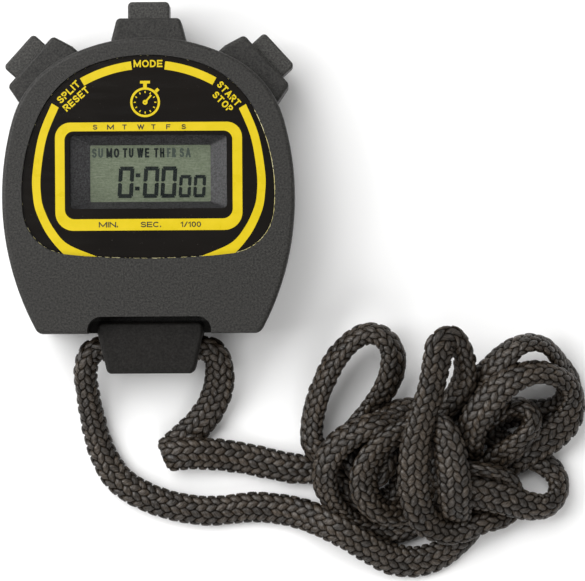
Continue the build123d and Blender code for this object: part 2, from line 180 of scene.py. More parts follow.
# Each point: x, y, z in mm, how far the ribbon leans from lying flat in degrees, and its width in mm.
LEAVING_LEFT = [
    (0, -35.6, 9.5, 0, 5.6), (-6.5, -35.6, 9.5, 0, 5.6), (-13.6, -35.3, 9.3, 0, 5.4),
    (-15.2, -40.2, 8, 0, 5.2), (-14.8, -45.2, 5.4, 0, 5.2), (-13.9, -51, 3.2, 0, 5.6),
    (-12.4, -57.6, 2.2, 0, 6), (-9.6, -63.8, 1.9, 0, 6.6), (-5.6, -67.5, 1.9, 0, 6.6),
    (-0.8, -69.9, 1.9, 0, 6.6), (4.6, -71.7, 1.9, 0, 6.6), (13, -73, 1.9, 0, 6.6),
    (22, -71.6, 1.9, 0, 6.8),
]
PILE = [
    # under strand along the bottom of the pile
    (31.2, -72.7, 1.9, 0, 7), (35.9, -74, 3.9, 0, 7), (40.3, -75.9, 6.3, 5, 7),
    (44.8, -78.5, 6, 10, 7), (49.1, -81.3, 4.6, 15, 7), (53.4, -83.7, 3, 12, 7.4),
    (57.7, -84.7, 2.2, 12, 7.4), (62, -84.1, 2.2, 15, 7.2), (65.8, -82.6, 2.2, 20, 6.8),
    (69, -80.3, 2.3, 25, 6.2), (71.8, -77.3, 2.3, 25, 6), (73.5, -73.9, 2.2, 20, 6),
    (74.6, -70.5, 2.1, 10, 6), (76.1, -67.5, 2.2, 10, 6), (78.3, -64.7, 2.2, 10, 6),
    # the large loop at the right
    (80.6, -62.5, 2.6, 10, 6.4), (83.8, -60.5, 4.3, 15, 6.8), (87.2, -58.2, 5.3, 15, 7.2),
    (90.8, -55.8, 5.6, 15, 7.4), (93.7, -52.8, 6, 20, 7), (95, -49.6, 6.3, 30, 6.6),
    (95, -46.3, 7.3, 45, 6), (93.1, -43.5, 9, 55, 5.6), (89.8, -41.6, 11.4, 50, 6),
    (85.6, -41.1, 13.1, 40, 6.4), (81.6, -42.1, 14.1, 30, 6.8), (78, -44.4, 14.5, 20, 7.2),
    (75, -47.6, 14.5, 15, 7.2), (72.6, -50.9, 13.8, 15, 7), (71.6, -54.6, 11.8, 15, 6.6),
    (71.4, -58.2, 8.4, 20, 6.4), (71.6, -61.4, 4.6, 20, 6.4), (71.2, -64.9, 2.2, 10, 6.4),
    (69.1, -68.2, 2.1, 10, 6.4), (65.9, -70.3, 2.1, 10, 6.4), (62.2, -71.6, 2.2, 20, 6.4),
    # inner turn at the left, and over to the broad strand
    (58.7, -72.7, 3.3, 40, 6), (55.3, -73.4, 5, 35, 6.2), (51.8, -72.9, 6.7, 20, 6.2),
    (49.1, -70.9, 8, 15, 6.4), (47.6, -67.8, 9.4, 15, 6.6), (47.4, -64.4, 10.1, 15, 6.6),
    (48.5, -61.2, 10.7, 20, 6.4), (50.5, -58.5, 10.7, 25, 6.2), (53.1, -56.1, 10.7, 30, 6),
    (56.1, -54.5, 10.7, 35, 6), (59.3, -53.1, 10.7, 35, 6), (62.4, -52.3, 11.4, 35, 6),
    # the broad strand, which turns under itself at its foot
    (64.9, -53, 13.1, 30, 6), (66.1, -56, 14.1, 10, 6.8), (66.9, -59.3, 14.1, 5, 7.2),
    (67.4, -62.9, 14.1, 5, 7.4), (67.7, -66.5, 13.8, 5, 7.6), (67.8, -69.7, 12.8, 5, 7.4),
    (68, -72.2, 10.7, 5, 7), (68.3, -73.6, 8, 5, 6.8), (68.9, -72.4, 5.6, 5, 6.6),
    (69.7, -69.6, 5.3, 10, 6.4), (71.4, -67.1, 5.3, 10, 6.4), (73.7, -64.7, 5.6, 10, 6.4),
    (76.3, -62.1, 6, 15, 6.4),
    # the small loop inside the large one
    (78.9, -59.9, 7.3, 25, 6.4), (81.8, -57.8, 9, 35, 6), (84.2, -55.4, 9.7, 55, 5.6),
    (85.7, -52.6, 9.7, 80, 5.4), (84.8, -49.9, 9.4, 80, 5.4), (82.2, -48.9, 8.4, 75, 5.4),
    (79, -49.8, 6.7, 50, 6), (75.5, -51.5, 5.3, 20, 6.2), (71.7, -53.7, 3.9, 10, 6.2),
    (67.9, -55.7, 3.6, 10, 6.2), (64.7, -58, 3.6, 10, 6.2), (62.9, -62, 3.6, 10, 6.2),
    (63.9, -66.2, 4.3, 15, 6.6), (67.2, -65.6, 6.7, 35, 6.2),
    # a strand on its edge to the right, and back underneath
    (70, -63.2, 9, 60, 6.4), (72.2, -62.8, 10.4, 80, 6.8), (75, -63.2, 10.4, 80, 6.8),
    (77.7, -63.9, 9.6, 80, 6.8), (80, -65, 8.2, 75, 6.6), (81, -67.2, 5.2, 45, 6),
    (81.2, -70, 2.6, 10, 6), (80.6, -72.8, 2.2, 20, 6), (78.4, -74.4, 3.3, 20, 6),
    (75.5, -74.6, 5, 15, 6), (71.8, -75.8, 5.6, 15, 6.4), (68, -77.2, 6, 15, 6.8),
    # the tall loop on top
    (64, -76.4, 8, 20, 7.2), (61, -74.1, 10.7, 15, 7.6), (59.3, -70.3, 12.8, 10, 7.6),
    (58.7, -66.7, 14.1, 5, 7.4), (58.5, -63.1, 14.8, 5, 7.2), (58.7, -59.5, 15.2, 5, 7),
    (59.2, -55.9, 15.5, 10, 6.6), (60.1, -52.3, 15.8, 15, 6.4), (61.3, -48.8, 15.8, 15, 6.4),
    (62.4, -45, 16.2, 20, 6.4), (63.2, -41.2, 16.5, 20, 6.6), (63.9, -37.6, 16.9, 15, 6.8),
    (64.4, -35.3, 17.3, 10, 7), (66, -33.8, 16.4, 18, 6.8), (68.2, -33.9, 14.2, 45, 6),
    (69.9, -36.5, 13.1, 60, 5.6), (70.5, -40.1, 11.4, 45, 6), (70.2, -43.7, 9.7, 30, 6.2),
    (68.3, -46.9, 8, 35, 6), (65.7, -49.5, 6.7, 35, 6), (63.1, -51.6, 5.6, 30, 6),
    (60.2, -53.1, 5, 30, 6),
    # outer turn at the left
    (56.9, -53.3, 6, 40, 5.8), (53.9, -52.8, 8.4, 45, 5.8), (50.8, -52.7, 10.4, 35, 6),
    (47.7, -53.5, 10.7, 25, 6.2), (44.5, -55.2, 10.7, 20, 6.4), (41.5, -57.5, 10.4, 20, 6.4),
    (39.4, -60.4, 10.1, 20, 6.4), (38.5, -63.8, 9.4, 25, 6.2), (38.9, -67.4, 7.3, 35, 6),
    (40.6, -70.7, 5, 50, 5.6), (43.4, -73.8, 3.3, 55, 5.6), (46.8, -76.2, 2.9, 45, 5.6),
    (50.7, -77.7, 2.3, 25, 6), (54.7, -77.8, 2.3, 20, 6), (58.6, -76.5, 2.7, 30, 6),
    (61.9, -74, 3.6, 30, 6.2), (65, -71, 6.3, 10, 6.4), (68, -69, 8.7, 5, 6.8),
    # the low loop at the lower right
    (71.8, -68.2, 9.7, 5, 7.6), (75.6, -68.7, 9.4, 5, 7.8), (79.5, -69.9, 8.4, 10, 7.4),
    (83.4, -71.4, 7, 15, 7), (87.1, -72.2, 5.6, 25, 6.6), (90.2, -71.4, 4.6, 40, 6),
    (92, -68.7, 3.6, 50, 5.6), (91.9, -65.5, 2.9, 50, 5.6), (89.8, -63, 2.5, 35, 5.8),
    (86.8, -61.1, 2.3, 20, 6), (83.4, -59.3, 2.2, 10, 6), (79.4, -58, 2.2, 10, 6),
    (76.6, -55, 2.2, 10, 6), (78.6, -51.6, 2.2, 10, 6), (83.2, -50.7, 2.2, 10, 6),
    (89, -50.8, 2.2, 10, 6), (92.4, -49.8, 2.2, 10, 6), (94.5, -47, 2.2, 10, 6),
    # the loop behind the large one
    (94.4, -44, 2.3, 20, 6), (93, -41, 4.5, 60, 6.4), (91.1, -37.7, 6.5, 72, 6.8),
    (88.9, -35.4, 8.5, 72, 6.8), (85.8, -34.4, 10.1, 70, 6.8), (82.4, -35.1, 11.1, 60, 6.6),
    (79.3, -37.4, 11.8, 40, 6.6), (76.5, -40.4, 11.4, 25, 6.6), (74, -43.2, 9, 25, 6.6),
    (71.8, -45.4, 5.3, 25, 6.4), (69.5, -47.9, 2.6, 15, 6.4), (66.2, -49.9, 2.1, 15, 6.2),
    (62.6, -49.9, 2.6, 25, 6), (58.9, -49.6, 4.3, 40, 5.8), (55.6, -49.9, 5.6, 40, 6),
    (52.8, -51, 6, 35, 6), (50.8, -53, 6.3, 25, 6), (50.9, -55.5, 6.7, 20, 6),
    (52, -58.9, 6.3, 20, 6), (52.4, -62.3, 6.3, 20, 6), (50.3, -64.9, 6.3, 20, 6),
    (46.9, -64, 6.3, 20, 6), (44.7, -60.7, 5.6, 20, 6), (44.7, -56.9, 5, 20, 6),
    (46.5, -53.3, 4.3, 30, 6),
    # the loop at the upper left
    (49.1, -50.1, 4.3, 45, 6), (51.6, -46.7, 5.6, 40, 6), (53.5, -43.2, 7.7, 30, 6.4),
    (54.5, -39.3, 8.7, 25, 6.4), (54.2, -35.7, 9, 35, 6), (51.9, -33, 9, 50, 5.6),
    (48.6, -32.1, 8.7, 55, 5.6), (45, -34, 8.4, 50, 5.8), (41.8, -37.4, 7.7, 45, 6),
    (39.6, -41.3, 7, 45, 6), (38, -45.1, 6, 45, 6), (36.6, -49, 5, 45, 6),
    (35.9, -53.1, 4.3, 45, 6), (35.8, -56.9, 4.6, 40, 6), (37.8, -59.8, 5.3, 20, 6),
    (41.4, -59.8, 5.6, 10, 6), (45.3, -58.9, 3.6, 10, 6), (49.6, -58.1, 2.2, 10, 6),
    (53.9, -59.4, 2.2, 10, 6), (56.7, -62.6, 2.3, 10, 6), (56.9, -66.5, 2.3, 10, 6),
    (54.3, -70.3, 2.3, 10, 6), (50, -71.4, 2.3, 10, 6), (45.9, -70.3, 2.3, 10, 6),
    (43.4, -66.6, 2.3, 10, 6), (40, -63.5, 2.3, 10, 6), (35.9, -63.3, 2.1, 5, 6.6),
    (31.2, -63.2, 2, 0, 6.8),
]
COMING_BACK = [
    (24.6, -61.6, 1.9, 0, 7), (17.6, -60.1, 2.6, 0, 7.2), (11.4, -59.4, 4.2, 0, 7.2),
    (6.6, -59.4, 4.9, 0, 7.2), (3.5, -59.8, 4.4, 0, 7.2), (3, -59.6, 2.2, 0, 7.2),
    (5.2, -57.8, 1.6, 0, 7.2), (7.9, -55.3, 1.8, 0, 7), (10.5, -52.7, 2.4, 0, 6.8),
    (13.5, -48.7, 3.6, 0, 6.8), (15.1, -44, 5.6, 0, 6.8), (15.4, -39.2, 8, 0, 6.2),
    (13.6, -35.3, 9.3, 0, 5.6), (6.5, -35.6, 9.5, 0, 5.6), (0, -35.6, 9.5, 0, 5.6),
]
ROUTE = LEAVING_LEFT + PILE + COMING_BACK

CORD_GIRTH_SUM = 9.9        # width plus thickness of the flattened braid, mm
WIDTH_STEP = 0.05 * MM      # widths are rounded to this, so that few sections have to be worked out
YARNS = 5                   # yarns each way round the braid
LAY = 11.6 * MM             # one turn of a yarn, along the cord
GRID = 5                    # mesh steps from one yarn to the next
STITCH_RISE = 0.62 * MM
SUNK = 0.75                 # the part of that rise that lies inside the section's outline
ZIGZAG = 0.2                # how far stitches of neighbouring columns reach into each other
CREASE_SHIFT = 0.5 - ZIGZAG
FATES = 997                 # stitches in a column before their random heights repeat
ROLL_STEP = 0.2 * MM        # the ribbon's roll is worked out at this spacing
ROLL_REACH = 1.6 * MM       # and evened out over about this length
UPWARD = (0.0, 0.0, 1.0)


def route_spline():
    """The lanyard's centre line, one smooth NURBS spline through its control points."""
    curve = bpy.data.curves.new("lanyard_line", "CURVE")
    curve.dimensions = "3D"
    curve.resolution_u = 16
    spline = curve.splines.new("NURBS")
    spline.points.add(len(ROUTE) - 1)
    for point, (x, y, z, _, _) in zip(spline.points, ROUTE):
        point.co = (x * MM, y * MM, z * MM, 1.0)
    spline.order_u = 3
    spline.use_endpoint_u = True
    line = into_scene("lanyard_line", curve)
    mesh = bpy.data.meshes.new_from_object(line)
    points = np.array([vertex.co for vertex in mesh.vertices])
    bpy.data.meshes.remove(mesh)
    bpy.data.objects.remove(line)
    return points


class Line:
    """The spline's points, with a frame that turns as little as it can and the ribbon's own roll."""

    def __init__(self, points):
        self.points = points
        steps = np.linalg.norm(np.diff(points, axis=0), axis=1)
        self.along = np.concatenate([[0.0], np.cumsum(steps)])
        self.length = self.along[-1]
        tangents = np.gradient(points, self.along, axis=0)
        self.tangents = tangents / np.linalg.norm(tangents, axis=1)[:, None]
        self.across, self.over = self.least_turning()
        # the line's parameter runs over len(ROUTE) - 2 spans, and passes each point near a span's middle
        spans = len(ROUTE) - 2
        spot = np.concatenate([[0.0], np.arange(spans) + 0.5, [spans]])
        here = np.linspace(0.0, spans, len(points))
        lean = np.interp(here, spot, [point[3] for point in ROUTE])
        self.width = np.interp(here, spot, [point[4] for point in ROUTE]) * MM
        self.roll = self.roll_from_lean(np.radians(lean))

    def least_turning(self):
        """Two directions square to the line, carried along it without twisting."""
        across = np.empty_like(self.points)
        first = np.cross(UPWARD, self.tangents[0])
        across[0] = first / np.linalg.norm(first)
        for i in range(1, len(self.points)):
            kept = across[i - 1] - self.tangents[i] * (across[i - 1] @ self.tangents[i])
            across[i] = kept / np.linalg.norm(kept)
        return across, np.cross(self.tangents, across)

    def roll_from_lean(self, lean):
        """The roll that leans the ribbon by the given angle from lying flat, carried through the folds.

        A ribbon looks the same after half a turn, so its angles are doubled, averaged as complex
        numbers and halved. Where the line stands upright no side is level, so it counts least there.
        """
        level = np.cross(UPWARD, self.tangents)
        slope = np.linalg.norm(level, axis=1)
        trust = slope ** 2 + 1e-4
        level /= slope[:, None] + 1e-9
        uphill = np.cross(self.tangents, level)
        wide = level * np.cos(lean)[:, None] + uphill * np.sin(lean)[:, None]
        wanted = np.arctan2((wide * self.over).sum(1), (wide * self.across).sum(1))
        half_turns = np.exp(2j * wanted) * trust ** 2
        kernel = np.exp(-0.5 * (np.arange(-3 * ROLL_REACH, 3 * ROLL_REACH, ROLL_STEP) / ROLL_REACH) ** 2)
        even = np.arange(0.0, self.length, ROLL_STEP)
        real, imaginary = (np.convolve(np.interp(even, self.along, part), kernel, "same")
                           for part in (half_turns.real, half_turns.imag))
        roll = np.unwrap(np.arctan2(imaginary, real)) / 2
        return np.interp(self.along, even, roll)

    def at(self, values, along):
        """Values given at the line's points, read at other distances along it."""
        if values.ndim == 1:
            return np.interp(along, self.along, values)
        return np.stack([np.interp(along, self.along, column) for column in values.T], axis=-1)


def section_points(turn, width):
    """Points and outward normals on the flattened section, at equal steps of its girth."""
    fine = np.linspace(0.0, 2 * math.pi, 361)
    points = np.empty(turn.shape + (2,))
    normals = np.empty_like(points)
    sizes = np.round(width / WIDTH_STEP).astype(int)
    for size in np.unique(sizes):
        a = size * WIDTH_STEP / 2
        b = CORD_GIRTH_SUM * MM / 2 - a
        outline = np.stack([a * np.cos(fine), b * np.sin(fine)], axis=-1)
        girth = np.concatenate([[0.0], np.cumsum(np.linalg.norm(np.diff(outline, axis=0), axis=1))])
        rows = sizes == size
        angle = np.interp((turn[rows] % 1.0) * girth[-1], girth, fine)
        points[rows] = np.stack([a * np.cos(angle), b * np.sin(angle)], axis=-1)
        out = np.stack([np.cos(angle) / a, np.sin(angle) / b], axis=-1)
        normals[rows] = out / np.linalg.norm(out, axis=-1)[..., None]
    return points, normals


def triangle_wave(values):
    """From 1 at even numbers down to -1 at odd ones."""
    return 1 - 2 * np.abs(values - 2 * np.round(values / 2))


def stitch_frame(u, v):
    """Each point's column of stitches, its stitch in that column, and its place across and along it."""
    along, around = u - v, u + v - 1
    column = np.floor(around)
    lean = 1 - 2 * (column % 2)
    border = 0.5 + ZIGZAG * triangle_wave(along - column - lean * CREASE_SHIFT)
    column = column + (around - column > border)
    lean = 1 - 2 * (column % 2)
    aside = around - column
    reach = 0.5 + ZIGZAG * triangle_wave(along - column - np.sign(aside) * lean * CREASE_SHIFT)
    place = along - column - lean * aside
    number = np.round(place / 2)
    return column, number, place - 2 * number, aside / reach


def stitch_height(u, v):
    """How far the braid's surface stands out: each stitch is a pillow that dives under its neighbours."""
    column, number, across, run = stitch_frame(u, v)
    plump = np.sqrt(np.clip(1 - np.abs(across) ** 3.0, 0, 1))
    arch = 1 - 0.9 * np.abs(run) ** 3.4
    fates = np.random.default_rng(5).random((2 * YARNS, FATES, 2))
    fate = fates[(column % (2 * YARNS)).astype(int), number.astype(int) % FATES]
    tilt = (fate[..., 0] - 0.5) * 0.35 * across
    return plump * arch * (0.78 + 0.32 * fate[..., 1] + tilt)


def braided_cord():
    """The whole lanyard as one tube, whose grid follows the yarns so that each stitch is a pillow."""
    line = Line(route_spline())
    unit = LAY / (2 * YARNS)
    rows = int(line.length / unit) * GRID
    around = YARNS * GRID
    row = np.arange(rows + 1)
    low = row[:, None] % 2 + 2 * np.arange(around)[None, :]
    grid_u = (low + row[:, None]) // 2
    grid_v = (low - row[:, None]) // 2
    u, v = grid_u / GRID, grid_v / GRID
    along = np.clip((u - v) * unit, 0.0, line.length)
    turn = (u + v) / (2 * YARNS)
    height = stitch_height(u, v) * STITCH_RISE
    flat, out = section_points(turn, line.at(line.width, along))
    flat = flat + out * (height - SUNK * STITCH_RISE)[..., None]
    roll = line.at(line.roll, along)[..., None]
    across = line.at(line.across, along)
    over = line.at(line.over, along)
    wide = across * np.cos(roll) + over * np.sin(roll)
    thick = over * np.cos(roll) - across * np.sin(roll)
    places = line.at(line.points, along) + wide * flat[..., :1] + thick * flat[..., 1:]

    # Every other row is shifted by half a step, so the faces are diamonds that follow the yarns.
    index = np.arange((rows + 1) * around).reshape(rows + 1, around)
    middle = index[1:-1]
    beside = (np.arange(around) + row[1:-1, None] % 2) % around
    quads = np.stack([middle, np.take_along_axis(index[2:], beside, axis=1),
                      np.roll(middle, -1, axis=1),
                      np.take_along_axis(index[:-2], beside, axis=1)], axis=-1).reshape(-1, 4)
    ends = [tuple(index[0][::-1]), tuple(index[-1])]
    return line, places.reshape(-1, 3), quads, ends, np.stack([u.ravel(), v.ravel()], axis=-1)


def add_piece(mesh, material):
    """Puts a mesh into the scene as a piece that rides on the watch itself."""
    mesh.materials.append(material)
    piece = into_scene(mesh.name, mesh)
    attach(piece, "root")
    return piece


def smooth_mesh(name, vertices, faces):
    mesh = bpy.data.meshes.new(name)
    mesh.from_pydata([tuple(map(float, p)) for p in vertices], [], [tuple(map(int, f)) for f in faces])
    mesh.validate()
    mesh.update()
    mesh.polygons.foreach_set("use_smooth", [True] * len(mesh.polygons))
    return mesh


def lanyard_finish():
    """Dull filament yarn, with painted shade at the stitches' ends and along their sides: finds each stitch
    from the yarn coordinates, in the way of stitch_frame.
    """
    cord = Finish("braided_polyester", 0.5)
    maths = cord.math
    u, v, _ = cord.separated(cord.place("braid"))
    along = maths("SUBTRACT", u, v)
    around = maths("ADD", maths("ADD", u, v), -1.0)

    def lean_of(column):
        return maths("MULTIPLY_ADD", maths("PINGPONG", column, 1.0), -2.0, 1.0)

    def reach_of(column, side):
        shifted = maths("MULTIPLY_ADD", side, -CREASE_SHIFT, maths("SUBTRACT", along, column))
        wave = maths("MULTIPLY_ADD", maths("PINGPONG", shifted, 1.0), -2.0, 1.0)
        return maths("MULTIPLY_ADD", wave, ZIGZAG, 0.5)

    lower = maths("FLOOR", around)
    border = reach_of(lower, lean_of(lower))
    column = maths("ADD", lower, maths("GREATER_THAN", maths("SUBTRACT", around, lower), border))
    lean = lean_of(column)
    aside = maths("SUBTRACT", around, column)
    reach = reach_of(column, maths("MULTIPLY", maths("SIGN", aside), lean))
    run = maths("DIVIDE", aside, reach)
    place = maths("SUBTRACT", maths("SUBTRACT", along, column), maths("MULTIPLY", lean, aside))
    number = maths("ROUND", maths("MULTIPLY", place, 0.5))
    across = maths("MULTIPLY_ADD", number, -2.0, place)
    around_count = maths("FLOORED_MODULO", column, 2.0 * YARNS)

    random = cord.node("ShaderNodeTexWhiteNoise", noise_dimensions="2D")
    cord.link(cord.combined(around_count, number), random, "Vector")
    yarn = cord.combined(maths("MULTIPLY", across, 4.5), maths("MULTIPLY", run, 0.55),
                         maths("MULTIPLY_ADD", around_count, 7.31, maths("MULTIPLY", number, 3.17)))
    filaments = cord.noise(yarn, 2.2, 4.0, 0.72)
    edge = maths("MAXIMUM", maths("ABSOLUTE", across), maths("ABSOLUTE", run))

    yarn_colour = cord.ramp(filaments, (0.34, (0.0075, 0.0054, 0.0037)), (0.5, (0.0235, 0.0171, 0.0115)),
                            (0.68, (0.0880, 0.0650, 0.0440)))
    tint = cord.ramp(random.outputs["Value"], (0.0, 0.5), (1.0, 1.5))
    dyed = cord.mix(1.0, yarn_colour, tint, "MULTIPLY")
    # painted shade: each stitch is darkened towards its ends, where it dives under its neighbours
    ends = cord.ramp(maths("ABSOLUTE", run), (0.3, 1.0), (0.72, 0.62), (1.0, 0.16))
    shaded = cord.mix(1.0, dyed, ends, "MULTIPLY")
    # painted shade: each stitch is darkened along its sides, in the creases between stitches
    painted_crease_shade = cord.ramp(maths("ABSOLUTE", across), (0.8, 1.0), (0.93, 0.66), (0.99, 0.24))
    cord.colour(cord.mix(1.0, shaded, painted_crease_shade, "MULTIPLY"))
    sheen = maths("MULTIPLY", cord.ramp(edge, (0.6, 0.8), (0.95, 0.02)),
                  cord.ramp(filaments, (0.36, 0.3), (0.64, 1.0)))
    cord.link(sheen, cord.shader, "Specular IOR Level")
    cord.rough(cord.ramp(filaments, (0.3, 0.44), (0.7, 0.32)))
    cord.bump(filaments, 0.6, 0.1 * MM)
    return cord.material


def make_lanyard():
    """The woven cord, which stands for all three of the CAD's plain lanyard solids."""
    line, places, quads, ends, yarn_places = braided_cord()
    mesh = smooth_mesh("lanyard", places, [*quads, *ends])
    cord = add_piece(mesh, lanyard_finish())
    layer = mesh.uv_layers.new(name="braid")
    corners = np.empty(len(mesh.loops), dtype=int)
    mesh.loops.foreach_get("vertex_index", corners)
    uv = yarn_places[corners]
    # A face across the seam has corners from both ends of the count round the cord: raise the low ones.
    quad_uv = uv[:quads.size].reshape(-1, 4, 2)
    around = quad_uv.sum(-1)
    behind = around < around.max(axis=1, keepdims=True) - YARNS
    quad_uv[behind] += YARNS
    layer.data.foreach_set("uv", uv.ravel())
    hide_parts("lanyard_left", "lanyard_right", "lanyard_bundle")


# ---------------------------------------------------------------- carried-over CAD pieces

def dress(material, *nodes):
    """Gives CAD nodes a finish."""
    for node in nodes:
        slots = NODES[node].data.materials
        slots.clear()
        slots.append(material)


BRACKET_TOP = -29.3 * MM
BRACKET_FRONT = 15.6 * MM


def moulded_plastic(name, colour, roughness, grain=0.5, bracket=False):
    """Dark plastic out of a spark-eroded mould: a fine even grain, with slight wear in its sheen."""
    plastic = Finish(name, roughness, colour)
    plastic.set(plastic.shader, "Specular IOR Level", 0.3)
    place = plastic.place()
    fine = plastic.noise(place, 2300.0, 3.0, 0.75)
    broad = plastic.noise(place, 70.0, 4.0, 0.6)
    scuffs = plastic.noise(plastic.stretched(place, (70.0, 900.0, 300.0), (0.0, 0.0, 0.35)), 1.0, 2.0)
    darker = tuple(0.3 * part for part in colour)
    lighter = tuple(2.6 * part for part in colour)
    tone = plastic.mix(plastic.ramp(fine, (0.36, 0.0), (0.7, 1.0)), darker, lighter)
    if bracket:
        # the lanyard bracket, below the notch, is made darker and reflects less than the rest of the case
        _, y, z = plastic.separated(place)
        foot = plastic.math("MULTIPLY", plastic.math("LESS_THAN", y, BRACKET_TOP),
                            plastic.math("LESS_THAN", z, BRACKET_FRONT))
        tone = plastic.mix(plastic.math("MULTIPLY", foot, 0.65), tone, (0.0038, 0.0031, 0.0026))
        plastic.link(plastic.ramp(foot, (0.0, 0.3), (1.0, 0.15)), plastic.shader, "Specular IOR Level")
    plastic.colour(plastic.mix(plastic.ramp(scuffs, (0.68, 0.0), (0.8, 0.45)), tone, lighter))
    low, high = roughness - 0.05, roughness + 0.06
    plastic.rough(plastic.ramp(broad, (0.3, low), (0.7, high)))
    plastic.bump(fine, grain, 0.16 * MM)
    return plastic.material


def label_finish():
    """Glossy black printed overlay, with faint wipe marks and a little dust."""
    label = Finish("label_gloss", 0.1, (0.006, 0.0055, 0.005))
    label.set(label.shader, "Specular IOR Level", 0.24)
    place = label.place()
    wiped = label.noise(label.stretched(place, (60.0, 500.0, 60.0), (0.0, 0.0, 0.5)), 1.0, 3.0)
    broad = label.noise(place, 55.0, 2.0)
    dust = label.noise(place, 2300.0, 1.0)
    specks = label.ramp(dust, (0.76, 0.0), (0.8, 1.0))
    tone = label.mix(broad, (0.004, 0.0036, 0.0032), (0.010, 0.008, 0.0066))
    label.colour(label.mix(label.math("MULTIPLY", specks, 0.25), tone, (0.12, 0.11, 0.1)))
    label.rough(label.ramp(wiped, (0.3, 0.08), (0.75, 0.19)))
    label.bump(broad, 0.05, 0.2 * MM)
    return label.material


def print_finish(name, dull, bright, sheen=0.5):
    """Screen-printed ink, a little uneven in density."""
    ink = Finish(name, 0.3, bright, Specular_IOR_Level=sheen)
    place = ink.place()
    cloud = ink.noise(place, 260.0, 3.0)
    mesh = ink.noise(place, 4200.0, 2.0)
    ink.colour(ink.mix(ink.ramp(cloud, (0.3, 0.0), (0.7, 1.0)), dull, bright))
    ink.rough(ink.ramp(cloud, (0.3, 0.24), (0.7, 0.36)))
    ink.bump(mesh, 0.15, 0.02 * MM)
    return ink.material


def clear_finish():
    """Clear acrylic: nearly all of it lets the view straight through, and the rest is its gloss."""
    clear = Finish("clear_acrylic", 0.04, (0.02, 0.02, 0.02), Alpha=0.06)
    place = clear.place()
    scratch = clear.noise(clear.stretched(place, (90.0, 2600.0, 90.0), (0.0, 0.0, 0.9)), 1.0, 2.0)
    clear.rough(clear.ramp(scratch, (0.7, 0.03), (0.78, 0.2)))
    clear.bump(scratch, 0.1, 0.01 * MM)
    return clear.material


def film_finish():
    """The display's grey-green reflective film, faintly mottled."""
    film = Finish("display_film", 0.5, (0.14, 0.168, 0.113), Specular_IOR_Level=0.2)
    place = film.place()
    grain = film.noise(place, 2100.0, 3.0, 0.7)
    cloud = film.noise(place, 160.0, 2.0)
    tone = film.mix(film.ramp(grain, (0.38, 0.0), (0.62, 1.0)), (0.105, 0.130, 0.082), (0.165, 0.196, 0.130))
    wiped = film.noise(film.stretched(place, (500.0, 5200.0, 500.0), (0.0, 0.0, 0.75)), 1.0, 3.0)
    tone = film.mix(film.ramp(wiped, (0.52, 0.0), (0.66, 0.8)), tone, (0.215, 0.245, 0.18))
    film.colour(film.mix(film.math("MULTIPLY", cloud, 0.3), tone, (0.165, 0.19, 0.132)))
    film.bump(grain, 0.12, 0.02 * MM)
    return film.material


def brushed_metal(name, colour, roughness, brushing=(40.0, 3000.0, 40.0)):
    """Metal with fine brushing lines and dull stains."""
    metal = Finish(name, roughness, colour, Metallic=1.0)
    place = metal.place()
    lines = metal.noise(metal.stretched(place, brushing), 1.0, 3.0, 0.6)
    stain = metal.noise(place, 240.0, 3.0)
    duller = tuple(0.7 * part for part in colour)
    metal.colour(metal.mix(metal.ramp(stain, (0.35, 0.0), (0.75, 0.6)), colour, duller))
    metal.rough(metal.ramp(lines, (0.3, roughness - 0.08), (0.7, roughness + 0.12)))
    metal.bump(lines, 0.2, 0.02 * MM)
    return metal.material


def plain_solid(name, colour, roughness, speckle=0.25, **sockets):
    """Moulded, cast or coated stuff inside the case: even, with a slight speckle."""
    solid = Finish(name, roughness, colour, **sockets)
    place = solid.place()
    fine = solid.noise(place, 1800.0, 3.0, 0.7)
    broad = solid.noise(place, 180.0, 2.0)
    low = tuple((1 - speckle) * part for part in colour)
    high = tuple(min(1.0, (1 + speckle) * part) for part in colour)
    solid.colour(solid.mix(solid.ramp(fine, (0.3, 0.0), (0.7, 1.0)), low, high))
    solid.rough(solid.ramp(broad, (0.3, max(0.02, roughness - 0.06)), (0.7, roughness + 0.08)))
    solid.bump(fine, 0.2, 0.03 * MM)
    return solid.material


